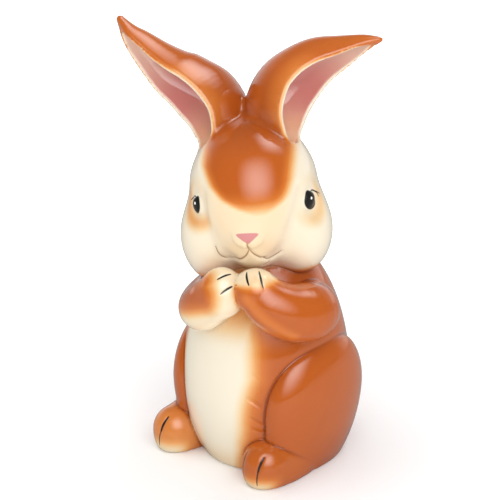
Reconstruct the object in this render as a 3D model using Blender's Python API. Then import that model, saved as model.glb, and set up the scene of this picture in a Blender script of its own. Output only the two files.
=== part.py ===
"""A sitting hare, cast in one: turned head with two flared ears, arms folded so
that the paws meet under the chin, round belly, haunches, feet and a small scut.

The form is a signed distance field, made of ovals, bent limbs and scooped ears
joined with soft creases, and its skin is traced on a grid. Lengths in the
field are millimetres; the mesh is made in metres. Body frame: the belly faces
-Y, the hare's left is +X, +Z is up and the underside is z = 0. Head frame: the
same axes turned with the head, from the middle of the head.
"""

import bpy
import numpy as np

MILLIMETRE = 0.001

# Grid and skin
GRID_STEP = 1.6
BLOCK = 8
PINCH_FILL = 0.05
GRID_LOW = (-100.0, -74.0, -4.6)
GRID_HIGH = (96.0, 76.0, 290.0)
SKIN_TRIANGLES = 9400
SOLE_EDGE = 0.6

# Torso: an upright egg, and the rump behind it
BELLY_MIDDLE = (-0.5, 1.0, 48.0)
BELLY_RADII = (51.0, 51.5, 75.0)
BELLY_UPPER_HEIGHT = 92.0
RUMP_MIDDLE = (0.0, 12.0, 42.0)
RUMP_RADII = (43.0, 42.0, 44.0)
RUMP_BLEND = 10.0
SCUT_MIDDLE = (0.0, 50.0, 24.0)
SCUT_RADII = (11.0, 11.0, 12.0)

# Haunches and feet, mirrored
HAUNCH_MIDDLE = (35.7, 1.5, 43.0)
HAUNCH_RADII = (20.0, 41.5, 58.0)
HAUNCH_UPPER_HEIGHT = 43.5
HAUNCH_LEAN = 4.0
HAUNCH_CREASE = 2.5
FEET_SHIFT = -4.0
FOOT_PATH = (
    (36.4, -39.2, 12.6, 13.9),
    (36.6, -26.0, 13.0, 14.0),
    (37.0, -4.0, 12.5, 13.6),
    (36.5, 12.0, 12.0, 13.0),
)
SOLE_MIDDLE = (36.0, -22.5, 5.0)
SOLE_RADII = (15.6, 29.5, 12.5)
FOOT_CREASE = 5.0

# Head, in its own frame
HEAD_MIDDLE = np.array((-2.2, -8.0, 166.0))
HEAD_YAW = 35.0
HEAD_ROLL = -5.0
SKULL_MIDDLE = (0.0, 5.0, 0.0)
SKULL_RADII = (37.3, 38.0, 44.5)
FACE_MIDDLE = (0.0, -12.0, -1.0)
FACE_RADII = (27.0, 30.0, 37.0)
FACE_PITCH = -6.0
FACE_BLEND_LOW = 8.0
FACE_BLEND_HIGH = 26.0
CHEEK_LEFT = ((24.8, -2.0, -20.3), (20.0, 27.0, 27.0))
CHEEK_RIGHT = ((-25.7, -2.0, -22.4), (20.0, 27.0, 28.0))
CHEEK_BLEND = 8.0
CHIN_MIDDLE = (0.0, -25.0, -28.0)
CHIN_RADII = (9.0, 8.0, 6.0)
NOSE_MIDDLE = (-0.8, -40.0, -11.8)
NOSE_RADII = (6.6, 3.2, 5.4)
EYE_LEFT = (34.3, -18.0, 2.1)
EYE_RIGHT = (-30.9, -23.4, 4.6)
EYE_BALL = 9.0
EYE_RISE = 1.2
SOCKET_RADIUS = 9.5
SOCKET_DEPTH = 1.3
MUZZLE_LEFT = (
    (29.8, -25.2, 11.0, 0.0),
    (25.4, -30.0, -3.5, 0.0),
    (20.5, -30.8, -17.5, 0.0),
    (11.6, -30.6, -27.6, 0.0),
)
MUZZLE_RIGHT = (
    (-26.0, -29.5, 12.4, 0.0),
    (-26.0, -29.4, -3.0, 0.0),
    (-22.6, -30.0, -17.6, 0.0),
    (-13.0, -30.2, -27.8, 0.0),
)
MUZZLE_DEPTH = 1.3
MUZZLE_WIDTH = 4.0

# Ears, in the head frame: across, back, up, half width of the opening, depth
# behind it, and the way the opening faces. The first row is the root.
EAR_LEFT = (
    (25.2, -3.0, 32.1, 6.0, 15.0, 0.92, -0.38, -0.05),
    (26.5, -0.9, 39.8, 13.0, 29.0, 0.90, -0.43, -0.12),
    (28.0, 2.1, 49.7, 16.5, 33.0, 0.79, -0.55, -0.26),
    (31.6, 5.7, 57.4, 17.9, 32.5, 0.67, -0.63, -0.39),
    (37.2, 8.0, 63.9, 17.4, 28.5, 0.56, -0.67, -0.49),
    (45.7, 10.4, 70.1, 15.0, 23.5, 0.45, -0.68, -0.58),
    (57.9, 11.9, 75.7, 10.9, 17.0, 0.35, -0.67, -0.65),
    (70.6, 13.6, 81.5, 5.6, 9.5, 0.20, -0.67, -0.72),
    (79.0, 14.5, 84.3, 2.5, 3.8, 0.13, -0.65, -0.75),
)
EAR_RIGHT = (
    (-26.0, 0.3, 29.0, 6.0, 16.0, -0.81, -0.59, -0.03),
    (-26.6, 2.5, 37.5, 13.0, 31.0, -0.79, -0.61, -0.07),
    (-29.3, 6.3, 47.5, 16.5, 34.5, -0.71, -0.69, -0.16),
    (-35.5, 9.0, 56.2, 17.5, 34.2, -0.61, -0.74, -0.28),
    (-42.4, 12.0, 63.0, 17.0, 29.5, -0.53, -0.76, -0.38),
    (-50.3, 14.7, 69.4, 15.6, 25.4, -0.49, -0.75, -0.45),
    (-60.2, 18.4, 80.3, 11.6, 19.0, -0.49, -0.72, -0.50),
    (-69.8, 22.1, 93.2, 7.0, 12.6, -0.48, -0.68, -0.55),
    (-74.4, 27.0, 103.4, 3.0, 5.0, -0.47, -0.66, -0.59),
)
EAR_WALL = 4.2
EAR_WALL_SHARE = 0.34
EAR_TIP_SOLID = 0.80
EAR_HOLLOW_SHARE = 0.60
EAR_RIM_ROUND = 2.4
EAR_HOLLOW_ROUND = 2.0
EAR_CREASE = 6.0
EAR_ROOT_BLEND = 4.5

# Arms: x, y, z, radius, from the shoulder round the elbow to the wrist
ARM_LEFT = (
    (26.0, 6.0, 103.0, 13.0),
    (38.0, -3.0, 104.5, 15.5),
    (44.0, -13.4, 106.0, 17.5),
    (39.7, -27.1, 109.5, 17.0),
    (33.2, -37.0, 116.4, 14.8),
    (27.6, -41.5, 122.8, 11.5),
)
ARM_RIGHT = (
    (-27.0, -4.0, 105.5, 12.0),
    (-21.9, -27.0, 102.8, 13.2),
    (-15.2, -40.4, 103.2, 13.8),
    (-9.6, -46.2, 104.8, 14.2),
    (-0.6, -48.6, 112.4, 14.0),
    (8.2, -50.2, 118.6, 12.8),
)
ARM_CREASE = 3.0

# Paws: middle, radii and roll of each mitten
PAW_YAW = 40.0
PAW_LEFT = ((26.0, -41.1, 125.0), (11.8, 9.6, 10.4), 0.0)
PAW_RIGHT = ((9.2, -49.7, 122.0), (11.0, 10.0, 13.2), -8.0)
PAW_CREASE = 2.0

GLAZE_COLOUR = (0.62, 0.24, 0.07, 1.0)
GLAZE_ROUGHNESS = 0.15


def turned(yaw=0.0, pitch=0.0, roll=0.0):
    """Axes turned by roll about y, pitch about x and then yaw about z."""
    a, b, c = np.radians([yaw, pitch, roll])
    about_z = [[np.cos(a), -np.sin(a), 0], [np.sin(a), np.cos(a), 0], [0, 0, 1]]
    about_x = [[1, 0, 0], [0, np.cos(b), -np.sin(b)], [0, np.sin(b), np.cos(b)]]
    about_y = [[np.cos(c), 0, np.sin(c)], [0, 1, 0], [-np.sin(c), 0, np.cos(c)]]
    return np.array(about_z) @ np.array(about_y) @ np.array(about_x)


HEAD_AXES = turned(yaw=HEAD_YAW, roll=HEAD_ROLL)


def join(first, second, soft):
    """Union of two distances, with a crease this soft."""
    near = np.maximum(soft - np.abs(first - second), 0) / soft
    return np.minimum(first, second) - near * near * soft * 0.25


def cut(first, second, soft):
    """What two distances share, with an edge this soft."""
    return -join(-first, -second, soft)


def ramp(value, low, high):
    t = np.clip((value - low) / (high - low), 0, 1)
    return t * t * (3 - 2 * t)


def mirrored(points):
    folded = points.copy()
    folded[:, 0] = np.abs(folded[:, 0])
    return folded


def oval(points, middle, radii, axes=None, upper_height=None):
    """Distance to an ellipsoid, whose upper half can have its own height."""
    q = points - np.array(middle)
    if axes is not None:
        q = q @ axes
    radii = np.array(radii)
    if upper_height is not None:
        q = q.copy()
        q[:, 2] = np.where(q[:, 2] > 0, q[:, 2] * radii[2] / upper_height, q[:, 2])
    size = np.linalg.norm(q / radii, axis=1)
    slope = np.linalg.norm(q / (radii * radii), axis=1)
    return size * (size - 1) / np.maximum(slope, 1e-9)


def stations(rows, count):
    """A smooth curve through the rows, and the way it runs."""
    rows = np.array(rows)
    ends = np.vstack([2 * rows[0] - rows[1], rows, 2 * rows[-1] - rows[-2]])
    spans = len(ends) - 3
    t = np.linspace(0, spans, count)
    i = np.minimum(t.astype(int), spans - 1)
    f = (t - i)[:, None]
    a, b, c, d = ends[i], ends[i + 1], ends[i + 2], ends[i + 3]
    curve = 0.5 * (
        2 * b
        + (c - a) * f
        + (2 * a - 5 * b + 4 * c - d) * f**2
        + (3 * b - a - 3 * c + d) * f**3
    )
    run = np.gradient(curve[:, :3], axis=0)
    return curve, run / np.linalg.norm(run, axis=1, keepdims=True)


def between(rows, place):
    i = np.minimum(place.astype(int), len(rows) - 2)
    return rows[i] + (rows[i + 1] - rows[i]) * (place - i)[:, None]


def unit(vectors):
    return vectors / np.linalg.norm(vectors, axis=1, keepdims=True)


def place_along(points, curve, run):
    """Where on the curve the plane square to it holds each point."""
    nearest = np.full(len(points), 1e18)
    place = np.zeros(len(points))
    for i in range(len(curve) - 1):
        start = curve[i, :3]
        span = curve[i + 1, :3] - start
        t = np.clip(((points - start) @ span) / (span @ span), 0, 1)
        gap = ((points - start - t[:, None] * span) ** 2).sum(axis=1)
        closer = gap < nearest
        nearest[closer] = gap[closer]
        place[closer] = i + t[closer]
    steps = np.linalg.norm(np.diff(curve[:, :3], axis=0), axis=1)
    for _ in range(3):
        ahead = ((points - between(curve, place)[:, :3]) * unit(between(run, place))).sum(axis=1)
        step = steps[np.minimum(place.astype(int), len(steps) - 1)]
        place = np.clip(place + np.clip(0.8 * ahead / step, -1, 1), 0, len(curve) - 1.0001)
    return place


def limb(points, rows, count=24):
    """Distance to a bent limb with a radius at each row."""
    curve, run = stations(rows, count)
    row = between(curve, place_along(points, curve, run))
    return np.linalg.norm(points - row[:, :3], axis=1) - row[:, 3]


def section(across, along, past, width, depth, end):
    size = np.sqrt((across / width) ** 2 + (along / depth) ** 2 + (past / end) ** 2)
    slope = np.sqrt(
        (across / width**2) ** 2 + (along / depth**2) ** 2 + (past / end**2) ** 2
    )
    return size * (size - 1) / np.maximum(slope, 1e-9)


def ear(head_points, rows):
    """Distances to an ear's outside and to its hollow."""
    curve, run = stations(rows, 32)
    place = place_along(head_points, curve, run)
    row = between(curve, place)
    forward = unit(between(run, place))
    facing = row[:, 5:8] - (row[:, 5:8] * forward).sum(axis=1)[:, None] * forward
    facing = unit(facing)
    sideways = np.cross(forward, facing)
    offset = head_points - row[:, :3]
    across = (offset * sideways).sum(axis=1)
    along = (offset * facing).sum(axis=1)
    past = (offset * forward).sum(axis=1)
    width = row[:, 3]
    depth = row[:, 4]
    outside = section(across, along, past, width, depth, np.minimum(width, depth))
    outside = cut(outside, along, EAR_RIM_ROUND)
    share = place / (len(curve) - 1)
    wall = np.minimum(EAR_WALL, EAR_WALL_SHARE * width)
    inner_width = np.maximum(width - wall, 0.4)
    scoop = 0.12 + (EAR_HOLLOW_SHARE - 0.12) * ramp(share, 0.02, 0.30)
    inner_depth = np.maximum(depth * scoop, 0.4)
    end = np.minimum(inner_width, inner_depth)
    hollow = section(across, along, past, inner_width, inner_depth, end)
    return outside, hollow + 6.0 * ramp(share, EAR_TIP_SOLID, 1.0)


def eye(points, distance, middle):
    """The head with one socket pressed in and the eye raised in it."""
    middle = np.array(middle)
    outward = middle / np.array(SKULL_RADII) ** 2
    outward /= np.linalg.norm(outward)
    presser = middle + outward * (SOCKET_RADIUS * 2 - SOCKET_DEPTH)
    socket = np.linalg.norm(points - presser, axis=1) - SOCKET_RADIUS * 2
    distance = cut(distance, -socket, 3.0)
    ball_middle = middle - outward * (EYE_BALL - EYE_RISE)
    ball = np.linalg.norm(points - ball_middle, axis=1) - EYE_BALL
    return join(distance, ball, 1.0)


def head(points):
    q = (points - HEAD_MIDDLE) @ HEAD_AXES
    d = oval(q, SKULL_MIDDLE, SKULL_RADII)
    face = oval(q, FACE_MIDDLE, FACE_RADII, turned(pitch=FACE_PITCH))
    soft = FACE_BLEND_LOW + (FACE_BLEND_HIGH - FACE_BLEND_LOW) * ramp(q[:, 2], -24, 20)
    d = join(d, face, soft)
    cheeks = np.minimum(oval(q, *CHEEK_LEFT), oval(q, *CHEEK_RIGHT))
    d = join(d, cheeks, CHEEK_BLEND)
    for path in (MUZZLE_LEFT, MUZZLE_RIGHT):
        d = d + MUZZLE_DEPTH * np.exp(-((limb(q, path, 10) / MUZZLE_WIDTH) ** 2))
    d = join(d, oval(q, CHIN_MIDDLE, CHIN_RADII), 6.0)
    d = join(d, oval(q, NOSE_MIDDLE, NOSE_RADII), 2.5)
    d = eye(q, d, EYE_LEFT)
    d = eye(q, d, EYE_RIGHT)
    left, left_hollow = ear(q, EAR_LEFT)
    right, right_hollow = ear(q, EAR_RIGHT)
    d = join(d, join(left, right, EAR_CREASE), EAR_ROOT_BLEND)
    d = cut(d, -left_hollow, EAR_HOLLOW_ROUND)
    return cut(d, -right_hollow, EAR_HOLLOW_ROUND)


def paw(points, middle, radii, roll):
    return oval(points, middle, radii, turned(yaw=PAW_YAW) @ turned(roll=roll))


def hare(points):
    """Distance in millimetres to the whole cast."""
    folded = mirrored(points)
    d = oval(points, BELLY_MIDDLE, BELLY_RADII, None, BELLY_UPPER_HEIGHT)
    d = join(d, oval(points, RUMP_MIDDLE, RUMP_RADII), RUMP_BLEND)
    haunch = oval(
        folded, HAUNCH_MIDDLE, HAUNCH_RADII, turned(roll=HAUNCH_LEAN), HAUNCH_UPPER_HEIGHT
    )
    d = join(d, haunch, HAUNCH_CREASE)
    side = mirrored(points - np.array((FEET_SHIFT, 0.0, 0.0)))
    foot = join(limb(side, FOOT_PATH, 10), oval(side, SOLE_MIDDLE, SOLE_RADII), 6.0)
    d = join(d, foot, FOOT_CREASE)
    d = join(d, oval(points, SCUT_MIDDLE, SCUT_RADII), HAUNCH_CREASE)
    d = join(d, head(points), 3.0)
    left_arm = join(limb(points, ARM_LEFT), paw(points, *PAW_LEFT), 8.0)
    right_arm = join(limb(points, ARM_RIGHT), paw(points, *PAW_RIGHT), 8.0)
    d = join(d, join(left_arm, right_arm, PAW_CREASE), ARM_CREASE)
    return cut(d, -points[:, 2], SOLE_EDGE)


def slopes(distance, points, reach=0.3):
    """Gradient of a distance at each point."""
    found = np.zeros(points.shape)
    for corner in ((1, -1, -1), (-1, -1, 1), (-1, 1, -1), (1, 1, 1)):
        way = np.array(corner, float)
        found += way * distance(points + way * reach)[:, None]
    return found / (4 * reach)


def banded(distance, low, high, step):
    """Values on a grid, worked out one by one only in the blocks near the skin."""
    counts = [int(np.ceil((b - a) / step / BLOCK)) for a, b in zip(low, high)]
    blocks = np.stack(np.meshgrid(*[np.arange(n) for n in counts], indexing="ij"), axis=-1)
    blocks = blocks.reshape(-1, 3)
    middles = (blocks + 0.5) * BLOCK * step + np.array(low)
    coarse = distance(middles)
    values = np.empty([n * BLOCK for n in counts])
    view = values.reshape(counts[0], BLOCK, counts[1], BLOCK, counts[2], BLOCK)
    view[:] = coarse.reshape(counts)[:, None, :, None, :, None]
    near = blocks[np.abs(coarse) < BLOCK * step * 1.5]
    inner = np.stack(np.meshgrid(*[np.arange(BLOCK)] * 3, indexing="ij"), axis=-1)
    for batch in np.array_split(near, max(1, len(near) // 120)):
        cells = batch[:, None, None, None, :] * BLOCK + inner
        found = distance(cells.reshape(-1, 3) * step + np.array(low))
        values[cells[..., 0], cells[..., 1], cells[..., 2]] = found.reshape(cells.shape[:-1])
    return values


def without_pinches(values):
    """Fills the grid corners where the skin would touch itself along an edge."""
    for _ in range(12):
        found = 0
        for first, second in ((0, 1), (0, 2), (1, 2)):
            whole = [slice(0, n) for n in values.shape]
            faces = []
            for u, v in ((0, 0), (1, 0), (1, 1), (0, 1)):
                part = list(whole)
                part[first] = slice(u, values.shape[first] - 1 + u)
                part[second] = slice(v, values.shape[second] - 1 + v)
                faces.append(values[tuple(part)])
            signs = [face < 0 for face in faces]
            pinched = (signs[0] == signs[2]) & (signs[1] == signs[3]) & (signs[0] != signs[1])
            found += pinched.sum()
            for face in faces:
                face[pinched & (face >= 0)] = -PINCH_FILL
        if not found:
            break
    return values


def skin(distance, low, high, step):
    """Points and quads where the distance is zero, one point per grid cell."""
    values = without_pinches(banded(distance, low, high, step))
    shape = values.shape
    values = np.where(values == 0, 1e-9, values)
    inside = values < 0
    cells = tuple(n - 1 for n in shape)
    total = np.zeros(cells + (3,))
    count = np.zeros(cells)
    starts = np.stack(np.meshgrid(*[np.arange(n) for n in cells], indexing="ij"), axis=-1)
    for axis in range(3):
        others = [k for k in range(3) if k != axis]
        for u in (0, 1):
            for v in (0, 1):
                first = [slice(0, n) for n in cells]
                first[others[0]] = slice(u, cells[others[0]] + u)
                first[others[1]] = slice(v, cells[others[1]] + v)
                second = list(first)
                second[axis] = slice(1, cells[axis] + 1)
                a = values[tuple(first)]
                b = values[tuple(second)]
                crossed = (a < 0) != (b < 0)
                t = np.where(crossed, a / np.where(crossed, a - b, 1.0), 0.0)
                point = starts.astype(float)
                point[..., others[0]] += u
                point[..., others[1]] += v
                point[..., axis] += t
                total += np.where(crossed[..., None], point, 0.0)
                count += crossed
    used = count > 0
    index = np.full(cells, -1)
    index[used] = np.arange(used.sum())
    points = total[used] / count[used][:, None] * step + np.array(low)
    quads = []
    for axis in range(3):
        others = [k for k in range(3) if k != axis]
        inner = [slice(1, n) for n in cells]
        inner[axis] = slice(0, cells[axis])
        ahead = list(inner)
        ahead[axis] = slice(1, cells[axis] + 1)
        a = inside[tuple(inner)]
        b = inside[tuple(ahead)]
        place = np.argwhere(a != b)
        leaving = a[a != b]
        place[:, others[0]] += 1
        place[:, others[1]] += 1
        corners = []
        for u, v in ((1, 1), (0, 1), (0, 0), (1, 0)):
            cell = place.copy()
            cell[:, others[0]] -= u
            cell[:, others[1]] -= v
            corners.append(index[cell[:, 0], cell[:, 1], cell[:, 2]])
        corners = np.stack(corners, axis=1)
        flip = leaving if axis == 1 else ~leaving
        corners[flip] = corners[flip][:, ::-1]
        quads.append(corners)
    return points, np.concatenate(quads)


def settle(distance, points, rounds=3):
    """Moves each point onto the skin along the slope."""
    for _ in range(rounds):
        slope = slopes(distance, points)
        length = np.maximum((slope**2).sum(axis=1), 0.05)
        move = slope * (distance(points) / length)[:, None]
        points = points - np.clip(move, -0.8, 0.8)
    return points


def glaze():
    material = bpy.data.materials.new("glazed_ceramic")
    material.use_nodes = True
    shader = material.node_tree.nodes["Principled BSDF"]
    shader.inputs["Base Color"].default_value = GLAZE_COLOUR
    shader.inputs["Roughness"].default_value = GLAZE_ROUGHNESS
    material.diffuse_color = GLAZE_COLOUR
    return material


def build():
    for old in list(bpy.data.objects):
        bpy.data.objects.remove(old)
    points, quads = skin(hare, GRID_LOW, GRID_HIGH, GRID_STEP)
    points = settle(hare, points)
    mesh = bpy.data.meshes.new("hare")
    mesh.from_pydata((points * MILLIMETRE).tolist(), [], quads.tolist())
    mesh.update()
    mesh.materials.append(glaze())
    body = bpy.data.objects.new("hare", mesh)
    bpy.context.scene.collection.objects.link(body)
    fewer = body.modifiers.new("fewer triangles", "DECIMATE")
    fewer.ratio = SKIN_TRIANGLES / (2 * len(quads))
    fewer.use_collapse_triangulate = True


if __name__ == "__main__":
    build()
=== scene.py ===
"""Looks of a sitting hare in glazed ceramic, airbrushed orange brown over cream.

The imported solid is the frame. One finer cast, traced from the same form with the lines
that are pressed into the wet clay, stands for it, and its paint follows the anatomy.
Lengths in the form are millimetres, as in the part's source; meshes are in metres.
Body frame: the belly faces -Y, the hare's left is +X, +Z is up. Head frame: the same
axes turned with the head, from the middle of the head.
"""

import logging
from concurrent.futures import ThreadPoolExecutor
from dataclasses import dataclass, field
from enum import Enum
from typing import Callable, Iterable, Sequence

import bpy
import numpy as np
from mathutils import Matrix


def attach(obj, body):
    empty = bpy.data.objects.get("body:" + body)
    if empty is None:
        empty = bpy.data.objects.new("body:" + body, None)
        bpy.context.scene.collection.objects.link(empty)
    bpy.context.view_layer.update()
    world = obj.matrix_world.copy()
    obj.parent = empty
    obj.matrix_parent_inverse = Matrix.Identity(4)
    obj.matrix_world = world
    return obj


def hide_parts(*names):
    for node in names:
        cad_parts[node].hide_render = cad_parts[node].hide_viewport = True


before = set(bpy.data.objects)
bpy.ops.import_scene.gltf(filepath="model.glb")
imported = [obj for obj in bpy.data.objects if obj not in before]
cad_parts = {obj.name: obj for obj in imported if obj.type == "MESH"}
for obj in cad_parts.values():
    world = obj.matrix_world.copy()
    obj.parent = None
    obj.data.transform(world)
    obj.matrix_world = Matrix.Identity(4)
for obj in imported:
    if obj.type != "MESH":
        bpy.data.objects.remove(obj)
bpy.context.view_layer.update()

log = logging.getLogger("hare")

Array = np.ndarray
Row = Sequence[float]
Distance = Callable[[Array], Array]

MILLIMETRE = 0.001
FAR = 40.0
NEAR_MARGIN = 22.0
LINE_REACH = 1.4
WORKERS = 4

FINE_STEP = 1.6
BLOCK = 6
BAND = 1.3
PINCH_FILL = 0.05
GRID_LOW = (-100.0, -74.0, -4.05)
GRID_HIGH = (96.0, 76.0, 290.0)
SOLE_EDGE = 0.6


class Side(Enum):
    """Which side of the hare an eye is on."""

    LEFT = 1
    RIGHT = -1


class Axes(Enum):
    """The frame that a mark's points are given in."""

    BODY = "body"
    HEAD = "head"


class Paint(Enum):
    """What a brush line is painted with."""

    BLACK = "black"
    TAN = "tan"
    BARE = "bare"


def turned(yaw: float = 0.0, pitch: float = 0.0, roll: float = 0.0) -> Array:
    """Axes turned by roll about y, pitch about x and then yaw about z.

    Args:
        yaw: degrees about z.
        pitch: degrees about x.
        roll: degrees about y.

    Returns:
        A rotation whose columns are the turned axes.
    """
    a, b, c = np.radians([yaw, pitch, roll])
    about_z = [[np.cos(a), -np.sin(a), 0], [np.sin(a), np.cos(a), 0], [0, 0, 1]]
    about_x = [[1, 0, 0], [0, np.cos(b), -np.sin(b)], [0, np.sin(b), np.cos(b)]]
    about_y = [[np.cos(c), 0, np.sin(c)], [0, 1, 0], [-np.sin(c), 0, np.cos(c)]]
    return np.array(about_z) @ np.array(about_y) @ np.array(about_x)


def join(first: Array, second: Array, soft: float | Array) -> Array:
    """Union of two distances, with a crease this soft."""
    near = np.maximum(soft - np.abs(first - second), 0) / soft
    return np.minimum(first, second) - near * near * soft * 0.25


def cut(first: Array, second: Array, soft: float) -> Array:
    """What two distances share, with an edge this soft."""
    return -join(-first, -second, soft)


def ramp(value: Array, low: float, high: float) -> Array:
    """A smooth step from 0 at low to 1 at high."""
    t = np.clip((value - low) / (high - low), 0, 1)
    return t * t * (3 - 2 * t)


def hill(value: Array, width: float | Array) -> Array:
    """A smooth hill, 1 where the value is 0 and about a third at the width."""
    return np.exp(-((value / width) ** 2))


def unit(vectors: Array) -> Array:
    """The vectors at length 1."""
    return vectors / np.linalg.norm(vectors, axis=1, keepdims=True)


def mirrored(points: Array) -> Array:
    """The points folded over to the hare's left."""
    folded = points.copy()
    folded[:, 0] = np.abs(folded[:, 0])
    return folded


def in_batches(distance: Distance, points: Array) -> Array:
    """Works a distance out for many points, on every core.

    Args:
        distance: what to work out.
        points: any number of points.

    Returns:
        One value for each point.
    """
    batches = np.array_split(points, max(WORKERS, len(points) // 20000))
    with ThreadPoolExecutor(WORKERS) as pool:
        return np.concatenate(list(pool.map(distance, batches)))


def slopes(distance: Distance, points: Array, reach: float = 0.3) -> Array:
    """Gradient of a distance at each point, from four corners of a small cube."""
    found = np.zeros(points.shape)
    for corner in ((1, -1, -1), (-1, -1, 1), (-1, 1, -1), (1, 1, 1)):
        way = np.array(corner, float)
        found += way * in_batches(distance, points + way * reach)[:, None]
    return found / (4 * reach)


def stations(rows: Sequence[Row], count: int) -> tuple[Array, Array]:
    """A smooth curve through the rows.

    Args:
        rows: points on the curve, each with any further values.
        count: how many stations the curve gets.

    Returns:
        The stations, and the way the curve runs at each.
    """
    knots = np.array(rows)
    ends = np.vstack([2 * knots[0] - knots[1], knots, 2 * knots[-1] - knots[-2]])
    spans = len(ends) - 3
    t = np.linspace(0, spans, count)
    i = np.minimum(t.astype(int), spans - 1)
    f = (t - i)[:, None]
    a, b, c, d = ends[i], ends[i + 1], ends[i + 2], ends[i + 3]
    curve = 0.5 * (
        2 * b
        + (c - a) * f
        + (2 * a - 5 * b + 4 * c - d) * f**2
        + (3 * b - a - 3 * c + d) * f**3
    )
    run = np.gradient(curve[:, :3], axis=0)
    return curve, unit(run)


def between(rows: Array, place: Array) -> Array:
    """The rows at fractional places."""
    i = np.minimum(place.astype(int), len(rows) - 2)
    return rows[i] + (rows[i + 1] - rows[i]) * (place - i)[:, None]


def place_along(points: Array, curve: Array, run: Array) -> Array:
    """Where on the curve the plane square to it holds each point."""
    nearest = np.full(len(points), 1e18)
    place = np.zeros(len(points))
    for i in range(len(curve) - 1):
        start = curve[i, :3]
        span = curve[i + 1, :3] - start
        t = np.clip(((points - start) @ span) / (span @ span), 0, 1)
        gap = ((points - start - t[:, None] * span) ** 2).sum(axis=1)
        closer = gap < nearest
        nearest[closer] = gap[closer]
        place[closer] = i + t[closer]
    steps = np.linalg.norm(np.diff(curve[:, :3], axis=0), axis=1)
    for _ in range(3):
        ahead = ((points - between(curve, place)[:, :3]) * unit(between(run, place))).sum(axis=1)
        step = steps[np.minimum(place.astype(int), len(steps) - 1)]
        place = np.clip(place + np.clip(0.8 * ahead / step, -1, 1), 0, len(curve) - 1.0001)
    return place


def near_curve(points: Array, curve: Array, radius: float) -> Array:
    """Which points lie near a curve.

    Args:
        points: any number of points.
        curve: its stations.
        radius: its greatest radius.

    Returns:
        True for each point in the box round the curve, its radius and a margin out.
    """
    reach = radius + NEAR_MARGIN
    low = curve[:, :3].min(axis=0) - reach
    high = curve[:, :3].max(axis=0) + reach
    return ((points > low) & (points < high)).all(axis=1)


def section(
    across: Array, along: Array, past: Array, width: Array, depth: Array, end: Array
) -> Array:
    """Distance to an oval section that also rounds off past its plane.

    Args:
        across: how far each point lies across the section.
        along: how far along its depth.
        past: how far out of its plane.
        width: half the section's width.
        depth: half its depth.
        end: how far it rounds off past the plane.

    Returns:
        One distance for each point.
    """
    size = np.sqrt((across / width) ** 2 + (along / depth) ** 2 + (past / end) ** 2)
    slope = np.sqrt((across / width**2) ** 2 + (along / depth**2) ** 2 + (past / end**2) ** 2)
    return size * (size - 1) / np.maximum(slope, 1e-9)


@dataclass(frozen=True)
class Oval:
    """An ellipsoid whose upper half can have its own height."""

    middle: Row
    radii: Row
    yaw: float = 0.0
    pitch: float = 0.0
    roll: float = 0.0
    upper_height: float = 0.0

    def distance(self, points: Array) -> Array:
        """Distance from each point to the skin of the oval."""
        q = (points - np.array(self.middle)) @ turned(self.yaw, self.pitch, self.roll)
        radii = np.array(self.radii)
        if self.upper_height:
            q[:, 2] = np.where(q[:, 2] > 0, q[:, 2] * radii[2] / self.upper_height, q[:, 2])
        size = np.linalg.norm(q / radii, axis=1)
        slope = np.linalg.norm(q / (radii * radii), axis=1)
        return size * (size - 1) / np.maximum(slope, 1e-9)


@dataclass
class Limb:
    """A bent limb: points on its middle line, each with a radius."""

    rows: Sequence[Row]
    count: int = 24
    curve: Array = field(init=False)
    run: Array = field(init=False)

    def __post_init__(self) -> None:
        """Works out the middle line once."""
        self.curve, self.run = stations(self.rows, self.count)

    def distance(self, points: Array) -> Array:
        """Distance from each point to the limb, or FAR well away from it."""
        near = near_curve(points, self.curve, self.curve[:, 3].max())
        found = np.full(len(points), FAR)
        if near.any():
            row = between(self.curve, place_along(points[near], self.curve, self.run))
            found[near] = np.linalg.norm(points[near] - row[:, :3], axis=1) - row[:, 3]
        return found


@dataclass(frozen=True)
class EarChart:
    """Where points lie on one ear: distance to it and to its hollow, and share of its length."""

    outside: Array
    hollow: Array
    share: Array


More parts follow.
